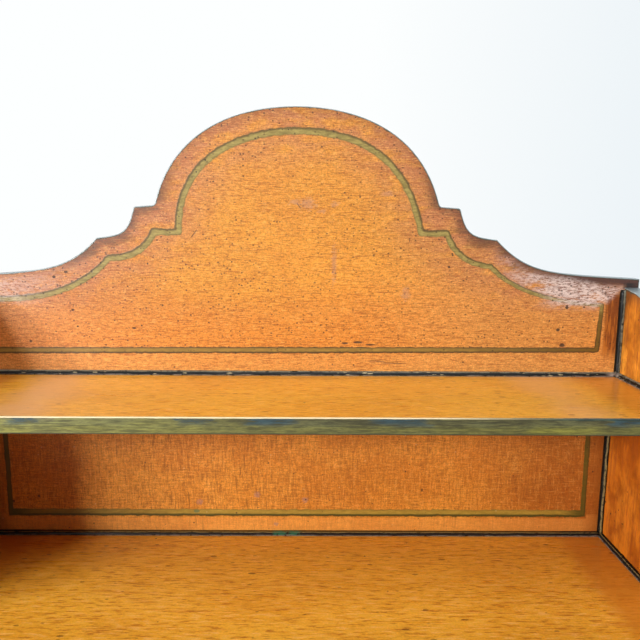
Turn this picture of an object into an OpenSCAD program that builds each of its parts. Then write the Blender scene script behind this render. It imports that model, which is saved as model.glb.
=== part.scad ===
// Waterfall bookcase: five shelves that step forward one below the other, between shaped
// sides, under a tall shaped crest board. Units are millimetres.
// X runs across, -Y is the front and +Z is up. The origin is on the floor, in the middle
// of the outside box.

/* [Case] */
// Clear width between the two sides
inner_w = 900; // [700:10:1100]
// Thickness of each side
side_t = 20; // [17:1:26]
// Thickness of every shelf
shelf_t = 20; // [15:0.5:24]
// How far a shelf's end is let into a side
housing = 6; // [3:0.5:9]
// How far a side's front edge stands out past the shelf's front edge
side_reveal = 4; // [1:0.5:8]
// Radius of the eased front edges of the shelves
shelf_ease = 1.5; // [1:0.5:5]

/* [Shelf heights and depths] */
// Height of the bottom shelf's top above the floor
bottom_shelf_h = 105; // [85:5:150]
// From the bottom shelf's top to the fourth shelf's top
bottom_bay_h = 325; // [260:5:400]
// From the fourth shelf's top to the third shelf's top
lower_bay_h = 295; // [240:5:360]
// From the third shelf's top to the second shelf's top
middle_bay_h = 270; // [230:5:330]
// From the second shelf's top to the top shelf's top
upper_bay_h = 245; // [220:5:300]
// Depth of the top shelf, from the face of the crest to its front edge
top_depth = 193; // [150:1:240]
// How much further each shelf stands out than the one above it
depth_step = 38; // [20:1:55]

/* [Crest board] */
// Thickness of the crest board
crest_t = 20; // [16:1:26]
// Height of the crest's two ends above the top shelf
crest_end_h = 137; // [110:1:170]
// Rise of the long sweep, from a crest end to its step
sweep_rise = 52; // [30:0.5:80]
// Rise of the cove, from the step to the shoulder
cove_rise = 42; // [20:1:60]
// Rise of the arch, from the shoulder to the top
arch_rise = 129; // [90:1:180]
// Half of the arch's width at its feet
arch_half_w = 192; // [140:1:230]
// Width of the flat shoulder beside each foot of the arch
shoulder_w = 28; // [12:1:50]
// Fall of the shoulder from the arch's foot to its outer corner
shoulder_fall = 2; // [0:0.5:4]
// Width of the cove, from the shoulder's corner to the step's corner
cove_w = 51.5; // [30:0.5:80]
// Angle at which the arch's leg meets the shoulder
leg_angle = 74.5; // [55:0.5:85]
// Angle at which the cove leaves the shoulder
cove_angle = 75; // [50:1:85]
// Angle of the step's top where it meets its corner
step_angle = 7.5; // [0:0.5:15]
// Angle at which the sweep leaves the step
sweep_angle = 46; // [25:1:60]
// Angle of the crest's top at its two ends
end_angle = 3; // [0:0.5:8]
// Radius of the eased corners of the shoulders
shoulder_ease = 3.5; // [1:0.5:6]

/* [Side profile] */
// Height of a side's top above the top shelf, at the back
side_top_h = 125; // [90:1:160]
// Length of the nearly level top of a side, from the crest forward
side_flat = 28; // [10:1:50]
// Fall of that top from the crest to where it starts to curve
side_flat_fall = 4.2; // [0:0.1:8]
// Height of a side above the top shelf at the shelf's front edge
side_lip_h = 14; // [8:1:30]
// Radius of the side's nose in front of the top shelf
nose_r = 12; // [4:1:14]
// Height above each lower shelf at which the swell of a side ends
swell_low = 28; // [15:1:60]
// Height of each swell, where a side steps forward
swell_h = 120; // [80:5:160]

/* [Back panel] */
// Thickness of the panel behind the lower bays
panel_t = 8; // [5:0.5:11]
// Width of the rebate in each side that takes the panel's edge
rebate_w = 10; // [7:0.5:14]

/* [Corner beads] */
// Radius of the quarter-round beads in the inner corners
bead_r = 6; // [3:0.5:10]
// How far the side beads stop behind the shelf's front edge
bead_stop = 3; // [2:0.5:12]
// How far the top corner beads stop below the top of the sides
bead_top_gap = 3; // [2:0.5:10]

/* [Base] */
// Thickness of the front apron
apron_t = 18; // [14:1:24]
// How far the apron stands behind the bottom shelf's front edge
apron_setback = 8; // [3:1:25]
// Width of each foot of the apron
apron_foot_w = 95; // [60:5:160]
// Height of the opening under the apron and under the sides
foot_arch_h = 46; // [30:1:60]
// Radius of the corners of those openings
foot_arch_r = 32; // [10:1:45]
// Width of a side's front foot
side_front_foot_w = 92; // [60:2:120]
// Width of a side's back foot
side_back_foot_w = 72; // [50:2:100]
// Leg of each triangular glue block behind the apron
block_leg = 38; // [25:1:55]
// Height of the glue blocks
block_h = 60; // [35:1:65]

/* [Fasteners] */
// Diameter of the crest screws' shanks
screw_d = 4; // [3:0.5:5]
// Diameter of the crest screws' countersunk heads
screw_head_d = 8; // [6.5:0.5:10]
// Length of the crest screws
screw_l = 45; // [35:1:60]
// Height of the lower crest screws above the top shelf
screw_low_h = 30; // [20:1:45]
// Height of the upper crest screws above the top shelf
screw_high_h = 95; // [60:1:105]
// Diameter of the pins that hold the back panel
pin_d = 2.2; // [1.6:0.2:3]
// Diameter of the pins' flat heads
pin_head_d = 4.4; // [3.6:0.2:6]
// Length of the pins
pin_l = 26; // [20:1:35]
// Distance between the pins up each side
pin_pitch = 140; // [90:5:220]
// Number of pins into the back of each shelf
shelf_pins = 4; // [2:1:6]
// Clearance round the screws and pins
fastener_gap = 0.05; // [0.02:0.01:0.15]

/* [Hidden] */
total_w = inner_w + 2 * side_t;
// Heights of the shelves' tops, with the top shelf first
shelf_z = [
  bottom_shelf_h + bottom_bay_h + lower_bay_h + middle_bay_h + upper_bay_h,
  bottom_shelf_h + bottom_bay_h + lower_bay_h + middle_bay_h,
  bottom_shelf_h + bottom_bay_h + lower_bay_h,
  bottom_shelf_h + bottom_bay_h,
  bottom_shelf_h
];
shelf_count = len(shelf_z);
// Depths of the shelves, from the face of the crest to their front edges
shelf_depth = [for (i = [0:shelf_count - 1]) top_depth + i * depth_step];
top_z = shelf_z[0];
base_top = bottom_shelf_h - shelf_t;
front_depth = shelf_depth[shelf_count - 1] + side_reveal;
total_d = crest_t + front_depth;
// Where the face of the crest lies, so that the box is centred on the origin
crest_y = total_d / 2 - crest_t;
// How far the lower back panel's face lies behind the crest's face
panel_setback = crest_t - panel_t;
// Points along the long curves and round the small corners
curve_steps = 20;
ease_steps = 4;
round_fn = 32;
// Overshoot of the cutters
cut = 1;
// Length of a screw's tapered point and of its countersunk head
screw_point_l = 6;
screw_head_l = screw_head_d / 2 - screw_d / 2;
screw_tip_r = 0.5;
pin_head_l = 1;

// A point at an angle and distance from another
function away(p, angle, d) = p + d * [cos(angle), sin(angle)];

// Points along a cubic curve with end points a and d and handles b and c, without a itself
function curve(a, b, c, d, steps = curve_steps) = [
  for (i = [1:steps])
    let (t = i / steps, s = 1 - t)
      s * s * s * a + 3 * s * s * t * b + 3 * s * t * t * c + t * t * t * d
];

// An eased corner at b, on the way from the direction of a to the direction of c
function eased(a, b, c, r) =
  let (p = b + r * (a - b) / norm(a - b), q = b + r * (c - b) / norm(c - b))
    concat([p], curve(p, p + (b - p) * 2 / 3, q + (b - q) * 2 / 3, q, ease_steps));

// The points that the crest's outline passes through, measured from the top shelf
apex = [0, crest_end_h + sweep_rise + cove_rise + shoulder_fall + arch_rise];
arch_foot = [arch_half_w, crest_end_h + sweep_rise + cove_rise + shoulder_fall];
shoulder = arch_foot + [shoulder_w, -shoulder_fall];
step_corner = shoulder + [cove_w, -cove_rise];
crest_end = [total_w / 2, crest_end_h];
// Lengths of the curves' handles, as shares of the distance that each curve spans
arch_top_pull = 0.39;
arch_leg_pull = 0.8;
cove_top_pull = 0.58;
cove_step_pull = 0.5;
sweep_step_pull = 0.315;
sweep_end_pull = 0.6;
sweep_span = norm(crest_end - step_corner);
cove_span = norm(step_corner - shoulder);

// The right half of the crest's outline, from the top of the arch to the crest's end
function crest_half() = concat(
  [apex],
  curve(
    apex,
    apex + [arch_top_pull * arch_half_w, 0],
    away(away(arch_foot, 180 - leg_angle, shoulder_ease), 180 - leg_angle, arch_leg_pull * arch_rise),
    away(arch_foot, 180 - leg_angle, shoulder_ease)
  ),
  eased(away(arch_foot, 180 - leg_angle, arch_rise), arch_foot, shoulder, shoulder_ease),
  eased(arch_foot, shoulder, away(shoulder, -cove_angle, cove_span), shoulder_ease),
  curve(
    away(shoulder, -cove_angle, shoulder_ease),
    away(shoulder, -cove_angle, cove_top_pull * cove_span),
    away(step_corner, 180 - step_angle, cove_step_pull * cove_span),
    step_corner
  ),
  curve(
    step_corner,
    away(step_corner, -sweep_angle, sweep_step_pull * sweep_span),
    away(crest_end, 180 - end_angle, sweep_end_pull * sweep_span),
    crest_end
  )
);

// Front distance of a side's edge beside a shelf
function side_front(i) = shelf_depth[i] + side_reveal;

// The front edge of a side from its top down to the floor, as distance forward and height
function side_edge() = concat(
  [[0, top_z + side_top_h], [side_flat, top_z + side_top_h - side_flat_fall]],
  side_crown(),
  [for (a = [80:-10:0]) nose_centre() + nose_r * [cos(a), sin(a)]],
  [for (i = [1:shelf_count - 1]) each side_swell(i)],
  [[front_depth, 0]]
);

// Centre of the rounded nose in front of the top shelf
function nose_centre() = [side_front(0) - nose_r, top_z + side_lip_h - nose_r];

// The falling top of a side, round first and then hollow, down to its nose
function side_crown() =
  let (
    start = [side_flat, top_z + side_top_h - side_flat_fall],
    end = nose_centre() + [0, nose_r],
    run = end[0] - start[0]
  )
    curve(start, start + [0.35 * run, -0.05 * run], end + [-0.38 * run, 0.04 * run], end);

// One swell: the side's edge steps forward above the shelf with this index
function side_swell(i) =
  let (
    low = [side_front(i), shelf_z[i] + swell_low],
    high = [side_front(i - 1), low[1] + swell_h]
  )
    concat([high], curve(high, high - [0, swell_h / 2], low + [0, swell_h / 2], low));

// Turns a drawing of distance forward and height into a plate of a width across, from x = 0 to -w
module across(w) {
  rotate([90, 0, -90])
    linear_extrude(w)
      children();
}

// A low arch with rounded upper corners, for the openings between feet
module foot_arch(w, h, r) {
  translate([0, -cut])
    square([w, h - r + cut]);
  translate([r, 0])
    square([w - 2 * r, h]);
  for (x = [r, w - r])
    translate([x, h - r])
      circle(r, $fn = 2 * round_fn);
}

// A countersunk screw along +Z from its head's face, wider all round by gap
module screw_shape(gap) {
  r = screw_d / 2 + gap;
  rotate_extrude($fn = round_fn)
    polygon([
      [0, 0], [screw_head_d / 2 + gap, 0], [r, screw_head_l],
      [r, screw_l - screw_point_l], [screw_tip_r + gap, screw_l + gap], [0, screw_l + gap]
    ]);
}

// A flat-headed pin along +Z from its head's face, wider all round by gap
module pin_shape(gap) {
  r = pin_d / 2 + gap;
  head_r = pin_head_d / 2 + gap;
  rotate_extrude($fn = round_fn)
    polygon([
      [0, 0], [head_r, 0], [head_r, pin_head_l], [r, pin_head_l], [r, pin_l + gap], [0, pin_l + gap]
    ]);
}

// All crest screws, driven forward from the back of the crest into the sides
module crest_fasteners(gap) {
  for (side = [-1, 1], h = [screw_low_h, screw_high_h])
    translate([side * (inner_w + side_t) / 2, crest_y + crest_t, top_z + h])
      rotate([90, 0, 0])
        screw_shape(gap);
}

// All panel pins, driven forward from the back of the panel into the sides and shelves
module panel_fasteners(gap) {
  pin_rows = floor((top_z - bottom_shelf_h) / pin_pitch);
  for (side = [-1, 1], i = [0:pin_rows - 1])
    panel_pin([side * (inner_w + rebate_w) / 2, bottom_shelf_h + (i + 0.5) * pin_pitch], gap);
  for (z = shelf_z, i = [0:shelf_pins - 1])
    panel_pin([((i + 0.5) / shelf_pins - 0.5) * inner_w, z - shelf_t / 2], gap);
}

// One panel pin at a place on the back of the panel
module panel_pin(place, gap) {
  translate([place[0], crest_y + crest_t, place[1]])
    rotate([90, 0, 0])
      pin_shape(gap);
}

// The right side board, with the housings, the rebate and the notch under the crest
module right_side_board() {
  difference() {
    translate([total_w / 2, crest_y, 0])
      across(side_t)
        difference() {
          polygon(concat([[-crest_t, 0], [-crest_t, top_z], [0, top_z]], side_edge()));
          translate([side_back_foot_w - crest_t, 0])
            foot_arch(total_d - side_back_foot_w - side_front_foot_w, foot_arch_h, foot_arch_r);
        }
    for (i = [0:shelf_count - 1])
      translate([inner_w / 2 - cut, crest_y - shelf_depth[i], shelf_z[i] - shelf_t])
        cube([housing + cut, shelf_depth[i] + panel_setback, shelf_t]);
    translate([inner_w / 2 - cut, crest_y + panel_setback, base_top])
      cube([rebate_w + cut, panel_t + cut, top_z - base_top]);
    crest_fasteners(fastener_gap);
    panel_fasteners(fastener_gap);
  }
}

module left_side() {
  color("darkgoldenrod")
    mirror([1, 0, 0])
      right_side_board();
}

module right_side() {
  color("darkgoldenrod")
    right_side_board();
}

module crest_board() {
  half = crest_half();
  last = len(half) - 1;
  left_half = [for (i = [last:-1:1]) [-half[i][0], half[i][1]]];
  color("goldenrod")
    difference() {
      translate([0, crest_y + crest_t, top_z])
        rotate([90, 0, 0])
          linear_extrude(crest_t)
            polygon(concat([[-total_w / 2, 0]], left_half, half, [[total_w / 2, 0]]));
      crest_fasteners(fastener_gap);
    }
}

module back_panel() {
  color("peru")
    difference() {
      translate([-inner_w / 2 - rebate_w, crest_y + panel_setback, base_top])
        cube([inner_w + 2 * rebate_w, panel_t, top_z - base_top]);
      panel_fasteners(fastener_gap);
    }
}

// One shelf, by its index from the top, with eased front edges
module shelf(i) {
  color("goldenrod")
    difference() {
      translate([inner_w / 2 + housing, crest_y, shelf_z[i] - shelf_t])
        across(inner_w + 2 * housing)
          shelf_section(shelf_depth[i]);
      panel_fasteners(fastener_gap);
    }
}

// The cross-section of a shelf that reaches a distance forward
module shelf_section(depth) {
  translate([-panel_setback, 0])
    square([depth + panel_setback - shelf_ease, shelf_t]);
  translate([0, shelf_ease])
    square([depth, shelf_t - 2 * shelf_ease]);
  for (z = [shelf_ease, shelf_t - shelf_ease])
    translate([depth - shelf_ease, z])
      circle(shelf_ease, $fn = round_fn);
}

module front_apron() {
  color("darkgoldenrod")
    translate([0, apron_back_y(), 0])
      rotate([90, 0, 0])
        linear_extrude(apron_t)
          difference() {
            translate([-inner_w / 2, 0])
              square([inner_w, base_top]);
            translate([-inner_w / 2 + apron_foot_w, 0])
              foot_arch(inner_w - 2 * apron_foot_w, foot_arch_h, foot_arch_r);
          }
}

// Where the back face of the apron lies
function apron_back_y() = crest_y - shelf_depth[shelf_count - 1] + apron_setback + apron_t;

// A triangular block in the corner behind the apron, on the side given as -1 or 1
module glue_block(side) {
  color("burlywood")
    translate([side * inner_w / 2, apron_back_y(), base_top - block_h])
      linear_extrude(block_h)
        polygon([[0, 0], [0, block_leg], [-side * block_leg, 0]]);
}

// A quarter-round bead along +X from its corner, mitred where it meets the other two beads
module bead(l, far_mitre = false) {
  difference() {
    rotate([90, 0, 90])
      linear_extrude(l)
        intersection() {
          circle(bead_r, $fn = round_fn);
          square(bead_r);
        }
    mitre();
    if (far_mitre)
      translate([l, 0, 0])
        mirror([1, 0, 0])
          mitre();
  }
}

// The two wedges that cut a bead's end so that three beads meet in a corner
module mitre() {
  wedge = [[-cut, -cut], [bead_r + cut, bead_r + cut], [-cut, bead_r + cut]];
  translate([0, 0, -cut])
    linear_extrude(bead_r + 2 * cut)
      polygon(wedge);
  translate([0, bead_r + cut, 0])
    rotate([90, 0, 0])
      linear_extrude(bead_r + 2 * cut)
        polygon(wedge);
}

// How far the face behind the bay over a shelf lies behind the crest's face
function face_setback(i) = i == 0 ? 0 : panel_setback;

// Height of the corner beads over a shelf
function corner_bead_h(i) = i == 0 ? side_top_h - bead_top_gap : shelf_z[i - 1] - shelf_t - shelf_z[i];

// The bead along the back of the bay over a shelf
module back_bead(i) {
  color("darkslategray")
    translate([-inner_w / 2, crest_y + face_setback(i), shelf_z[i]])
      mirror([0, 1, 0])
        bead(inner_w, far_mitre = true);
}

// The upright bead in a back corner over a shelf, on the side given as -1 or 1
module corner_bead(i, side) {
  color("darkslategray")
    translate([side * inner_w / 2, crest_y + face_setback(i), shelf_z[i]])
      mirror([side < 0 ? 1 : 0, 0, 0])
        mirror([0, 1, 0])
          rotate([0, -90, 0])
            bead(corner_bead_h(i));
}

// The bead between a side and a shelf, on the side given as -1 or 1
module shelf_bead(i, side) {
  color("darkslategray")
    translate([side * inner_w / 2, crest_y + face_setback(i), shelf_z[i]])
      mirror([side > 0 ? 1 : 0, 0, 0])
        rotate([0, 0, -90])
          bead(shelf_depth[i] + face_setback(i) - bead_stop);
}

module crest_screws() {
  color("dimgray")
    crest_fasteners(0);
}

module panel_pins() {
  color("dimgray")
    panel_fasteners(0);
}

left_side();
right_side();
crest_board();
back_panel();
shelf(0);  // top_shelf
shelf(1);  // second_shelf
shelf(2);  // third_shelf
shelf(3);  // fourth_shelf
shelf(4);  // bottom_shelf
front_apron();
glue_block(-1);  // left_glue_block
glue_block(1);  // right_glue_block
back_bead(0);  // gallery_back_bead
corner_bead(0, -1);  // gallery_left_corner_bead
corner_bead(0, 1);  // gallery_right_corner_bead
shelf_bead(0, -1);  // gallery_left_shelf_bead
shelf_bead(0, 1);  // gallery_right_shelf_bead
back_bead(1);  // upper_back_bead
corner_bead(1, -1);  // upper_left_corner_bead
corner_bead(1, 1);  // upper_right_corner_bead
shelf_bead(1, -1);  // upper_left_shelf_bead
shelf_bead(1, 1);  // upper_right_shelf_bead
back_bead(2);  // middle_back_bead
corner_bead(2, -1);  // middle_left_corner_bead
corner_bead(2, 1);  // middle_right_corner_bead
shelf_bead(2, -1);  // middle_left_shelf_bead
shelf_bead(2, 1);  // middle_right_shelf_bead
back_bead(3);  // lower_back_bead
corner_bead(3, -1);  // lower_left_corner_bead
corner_bead(3, 1);  // lower_right_corner_bead
shelf_bead(3, -1);  // lower_left_shelf_bead
shelf_bead(3, 1);  // lower_right_shelf_bead
back_bead(4);  // bottom_back_bead
corner_bead(4, -1);  // bottom_left_corner_bead
corner_bead(4, 1);  // bottom_right_corner_bead
shelf_bead(4, -1);  // bottom_left_shelf_bead
shelf_bead(4, 1);  // bottom_right_shelf_bead
crest_screws();
panel_pins();
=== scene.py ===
"""Painted looks of the waterfall bookcase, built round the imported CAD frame. Units are metres."""

import math

import bmesh
import bpy
import numpy as np
from mathutils import Matrix, Vector, noise
from mathutils.geometry import delaunay_2d_cdt


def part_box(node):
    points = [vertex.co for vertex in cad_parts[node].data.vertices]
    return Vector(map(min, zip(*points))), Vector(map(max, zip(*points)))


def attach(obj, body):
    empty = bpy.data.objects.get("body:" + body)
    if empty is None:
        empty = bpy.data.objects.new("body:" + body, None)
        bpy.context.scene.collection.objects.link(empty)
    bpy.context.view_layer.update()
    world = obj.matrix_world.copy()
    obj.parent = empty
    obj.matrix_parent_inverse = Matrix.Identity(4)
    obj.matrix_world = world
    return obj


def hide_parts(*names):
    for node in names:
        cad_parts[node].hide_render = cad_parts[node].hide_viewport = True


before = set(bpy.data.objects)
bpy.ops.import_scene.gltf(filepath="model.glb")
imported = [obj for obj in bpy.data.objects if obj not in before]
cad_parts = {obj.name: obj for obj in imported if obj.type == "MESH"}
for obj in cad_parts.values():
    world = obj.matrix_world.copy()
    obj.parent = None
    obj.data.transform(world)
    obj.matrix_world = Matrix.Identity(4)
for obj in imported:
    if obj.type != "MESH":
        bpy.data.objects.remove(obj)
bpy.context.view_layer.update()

BODY = "root"
BAYS = ["gallery", "upper", "middle", "lower", "bottom"]
SHELVES = ["top_shelf", "second_shelf", "third_shelf", "fourth_shelf", "bottom_shelf"]

# Sizes read from the frame
shelf_boxes = [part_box(name) for name in SHELVES]
shelf_tops = [high.z for low, high in shelf_boxes]
shelf_fronts = [low.y for low, high in shelf_boxes]
shelf_t = shelf_boxes[0][1].z - shelf_boxes[0][0].z
crest_low, crest_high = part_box("crest_board")
panel_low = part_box("back_panel")[0]
side_low, side_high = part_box("right_side")
apron_low, apron_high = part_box("front_apron")
inner_x = side_low.x
half_w = side_high.x
crest_y = crest_low.y
back_y = crest_high.y
panel_y = panel_low.y
top_z = shelf_tops[0]
base_top = panel_low.z


# Plane geometry
# Points nearer to each other than this are the same
SAME = 1e-6
# Degrees between the points of an arc
ARC_STEP = 15
# Keeps the sharpest corners from moving too far inwards
MITRE_LIMIT = 0.25


def away(p, degrees, distance):
    """A point at an angle and distance from another."""
    angle = math.radians(degrees)
    return p + distance * Vector((math.cos(angle), math.sin(angle)))


def curve(a, b, c, d, steps=24):
    """Points of a cubic curve with end points a and d, without a itself."""
    points = []
    for i in range(1, steps + 1):
        t = i / steps
        s = 1 - t
        points.append(s * s * s * a + 3 * s * s * t * b + 3 * s * t * t * c + t * t * t * d)
    return points


def eased(a, b, c, r, steps=5):
    """A rounded corner at b, on the way from the direction of a to that of c."""
    p = b + r * (a - b).normalized()
    q = b + r * (c - b).normalized()
    return [p] + curve(p, p + (b - p) * 2 / 3, q + (b - q) * 2 / 3, q, steps)


def inset(outline, distance):
    """A closed outline that runs anticlockwise, moved inwards."""
    moved = []
    count = len(outline)
    for i, p in enumerate(outline):
        before = (p - outline[i - 1]).normalized()
        after = (outline[(i + 1) % count] - p).normalized()
        n1 = Vector((-before.y, before.x))
        n2 = Vector((-after.y, after.x))
        moved.append(p + distance * (n1 + n2) / max(MITRE_LIMIT, 1 + n1.dot(n2)))
    return moved


def distance_to(points, loop, widths=None):
    """Distance of each point to a closed loop, and the loop's own width beside it."""
    points = np.array(points, float).reshape(-1, 2)
    loop = np.array([tuple(p) for p in loop], float)
    nearest = np.full(len(points), np.inf)
    beside = np.ones(len(points))
    for i, a in enumerate(loop):
        j = (i + 1) % len(loop)
        step = loop[j] - a
        square = float(step @ step)
        if square < SAME**2:
            continue
        t = np.clip(((points - a) @ step) / square, 0, 1)
        d = np.linalg.norm(points - a - t[:, None] * step, axis=1)
        closer = d < nearest
        nearest = np.where(closer, d, nearest)
        if widths is not None:
            beside = np.where(closer, widths[i] + t * (widths[j] - widths[i]), beside)
    return nearest, beside


def inside(points, loop):
    """Whether each point lies inside a closed loop."""
    points = np.array(points, float).reshape(-1, 2)
    result = np.zeros(len(points), bool)
    x, y = points[:, 0], points[:, 1]
    for i, b in enumerate(loop):
        a = loop[i - 1]
        if a[1] == b[1]:
            continue
        crosses = (a[1] > y) != (b[1] > y)
        result ^= crosses & (x < (b[0] - a[0]) * (y - a[1]) / (b[1] - a[1]) + a[0])
    return result


# Outlines
END_H, SWEEP_RISE, COVE_RISE, ARCH_RISE = 0.137, 0.052, 0.042, 0.129
ARCH_HALF_W, SHOULDER_W, SHOULDER_FALL, COVE_W = 0.192, 0.028, 0.002, 0.0515
LEG_ANGLE, COVE_ANGLE, STEP_ANGLE, SWEEP_ANGLE, END_ANGLE = 105.5, -75, 172.5, -46, 177
SHOULDER_EASE = 0.0035
# How far a curve keeps the direction of its start and of its end, as shares of its size
ARCH_PULLS, COVE_PULLS, SWEEP_PULLS = (0.39, 0.8), (0.58, 0.5), (0.315, 0.6)


def crest_half():
    """The right half of the crest's outline, from the top of the arch to the crest's end."""
    apex = Vector((0, top_z + END_H + SWEEP_RISE + COVE_RISE + SHOULDER_FALL + ARCH_RISE))
    foot = Vector((ARCH_HALF_W, apex.y - ARCH_RISE))
    shoulder = foot + Vector((SHOULDER_W, -SHOULDER_FALL))
    step = shoulder + Vector((COVE_W, -COVE_RISE))
    end = Vector((half_w, top_z + END_H))
    cove = (step - shoulder).length
    sweep = (end - step).length
    leg_end = away(foot, LEG_ANGLE, SHOULDER_EASE)
    apex_pull = apex + Vector((ARCH_PULLS[0] * ARCH_HALF_W, 0))
    leg_pull = away(leg_end, LEG_ANGLE, ARCH_PULLS[1] * ARCH_RISE)
    cove_start = away(shoulder, COVE_ANGLE, SHOULDER_EASE)
    cove_pull = away(shoulder, COVE_ANGLE, COVE_PULLS[0] * cove)
    step_pull = away(step, STEP_ANGLE, COVE_PULLS[1] * cove)
    sweep_pull = away(step, SWEEP_ANGLE, SWEEP_PULLS[0] * sweep)
    end_pull = away(end, END_ANGLE, SWEEP_PULLS[1] * sweep)
    points = [apex]
    points += curve(apex, apex_pull, leg_pull, leg_end)
    points += eased(away(foot, LEG_ANGLE, ARCH_RISE), foot, shoulder, SHOULDER_EASE)
    points += eased(foot, shoulder, away(shoulder, COVE_ANGLE, cove), SHOULDER_EASE)
    points += curve(cove_start, cove_pull, step_pull, step)
    return points + curve(step, sweep_pull, end_pull, end)


def crest_outline():
    """The whole crest, anticlockwise from its lower right corner."""
    half = crest_half()
    left = [Vector((-p.x, p.y)) for p in half[1:]]
    right = list(reversed(half))
    return [Vector((half_w, top_z))] + right + left + [Vector((-half_w, top_z))]


SWELL_LOW, SWELL_H, SIDE_LIP, NOSE_R = 0.028, 0.120, 0.014, 0.012
SIDE_TOP, SIDE_FLAT, SIDE_FLAT_FALL = 0.125, 0.028, 0.0042
FOOT_ARCH_H, FOOT_ARCH_R = 0.046, 0.032
SIDE_FRONT_FOOT, SIDE_BACK_FOOT, APRON_FOOT = 0.092, 0.072, 0.095
SIDE_REVEAL = 0.004
# Pulls of the curve at a side's top, in y and z, as shares of its depth
SIDE_TOP_PULL, SIDE_NOSE_PULL = Vector((-0.35, -0.05)), Vector((0.38, 0.04))


def foot_arch(first, last, height, radius):
    """The opening between two feet, from its first foot over to its last one."""
    turn = 1 if last > first else -1
    middle = Vector((first + turn * radius, height - radius))
    up = [away(middle, 90 + turn * (90 - a), radius) for a in range(0, 91, ARC_STEP)]
    down = [Vector((first + last - p.x, p.y)) for p in reversed(up)]
    return [Vector((first, 0))] + up + down + [Vector((last, 0))]


def side_outline(rebated):
    """A side seen from the right, as y and z, anticlockwise from the back of its foot."""
    front = [y - SIDE_REVEAL for y in shelf_fronts]
    back = [Vector((back_y, 0)), Vector((back_y, base_top))]
    if rebated:
        back += [Vector((panel_y, base_top)), Vector((panel_y, top_z))]
    else:
        back += [Vector((back_y, top_z)), Vector((panel_y, top_z))]
    start = Vector((crest_y - SIDE_FLAT, top_z + SIDE_TOP - SIDE_FLAT_FALL))
    nose = Vector((front[0] + NOSE_R, top_z + SIDE_LIP - NOSE_R))
    end = nose + Vector((0, NOSE_R))
    run = start.x - end.x
    points = back + [Vector((crest_y, top_z)), Vector((crest_y, top_z + SIDE_TOP)), start]
    points += curve(start, start + run * SIDE_TOP_PULL, end + run * SIDE_NOSE_PULL, end)
    points += [away(nose, a, NOSE_R) for a in range(90 + ARC_STEP, 181, ARC_STEP)]
    for i in range(1, len(front)):
        low = Vector((front[i], shelf_tops[i] + SWELL_LOW))
        high = Vector((front[i - 1], low.y + SWELL_H))
        pull = Vector((0, SWELL_H / 2))
        points += [high] + curve(high, high - pull, low + pull, low, 16)
    points += [Vector((front[-1], 0))]
    points += foot_arch(front[-1] + SIDE_FRONT_FOOT, back_y - SIDE_BACK_FOOT, FOOT_ARCH_H, FOOT_ARCH_R)
    return points


def apron_outline():
    """The front apron with its two feet, anticlockwise from the lower right corner."""
    x = apron_high.x
    opening = foot_arch(-x + APRON_FOOT, x - APRON_FOOT, FOOT_ARCH_H, FOOT_ARCH_R)
    return [Vector((x, 0)), Vector((x, apron_high.z)), Vector((-x, apron_high.z)), Vector((-x, 0))] + opening


# Painted stripe of the crest, with heights over the top shelf
STRIPE_TOP, STRIPE_BASE = 0.3305, 0.0354


def stripe_half(side, foot, leg, pulls, shoulder, cove, step, sweep, end, corner, widths):
    """One half of the crest's stripe, from the top of the arch to its lower corner, with its half widths."""
    lift = Vector((0, top_z))
    apex, foot, shoulder, step, end, corner = [
        Vector(p) for p in ((0, STRIPE_TOP), foot, shoulder, step, end, corner)
    ]
    points = [apex]
    points += curve(apex, apex + Vector((pulls[0], 0)), away(foot, 180 - leg, pulls[1]), foot)
    arch = len(points)
    points += [shoulder] + curve(
        shoulder, away(shoulder, -cove[0], cove[1]), away(step, 180 - cove[2], cove[3]), step, 12
    )
    shelf = len(points)
    points += curve(step, away(step, -sweep[0], sweep[1]), away(end, 180 - sweep[2], sweep[3]), end, 16)
    reach = len(points)
    points += [corner, Vector((0, STRIPE_BASE))]
    marks = [0, arch - 1, shelf - 1, reach - 1, len(points) - 1]
    values = np.interp(range(len(points)), marks, widths)
    return [Vector((p.x * side, p.y)) + lift for p in points], list(values)


def crest_stripe():
    """The closed loop of the crest's stripe, anticlockwise, and its half width at each point."""
    right, right_w = stripe_half(
        side=1,
        foot=(0.1681, 0.1971),
        leg=78.3,
        pulls=(0.109, 0.080),
        shoulder=(0.2026, 0.1976),
        cove=(70, 0.0306, 4.5, 0.0297),
        step=(0.2644, 0.1529),
        sweep=(44.9, 0.0168, 2.8, 0.112),
        end=(0.4209, 0.1006),
        corner=(0.4179, 0.0373),
        widths=(0.0050, 0.0047, 0.0037, 0.0028, 0.0042),
    )
    left, left_w = stripe_half(
        side=-1,
        foot=(0.1609, 0.1973),
        leg=90,
        pulls=(0.059, 0.110),
        shoulder=(0.1943, 0.1978),
        cove=(66.5, 0.0132, 0, 0.0423),
        step=(0.2564, 0.1619),
        sweep=(45.7, 0.0152, -2.4, 0.114),
        end=(0.4210, 0.1058),
        corner=(0.4180, 0.0335),
        widths=(0.0050, 0.0050, 0.0047, 0.0043, 0.0044),
    )
    loop = left + list(reversed(right))[1:-1]
    return loop, left_w + list(reversed(right_w))[1:-1]


# Boards with eased arrises
ARRIS = 0.0012
ARRIS_STEPS = 3
# Material slots of a board
FACE, REVERSE, RIM = 0, 1, 2
# Spacing of the points that carry a face's numbers
CREST_GRID, FACE_GRID, INSIDE_GRID, BACK_GRID, APRON_GRID = 0.0032, 0.006, 0.012, 0.016, 0.020


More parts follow.
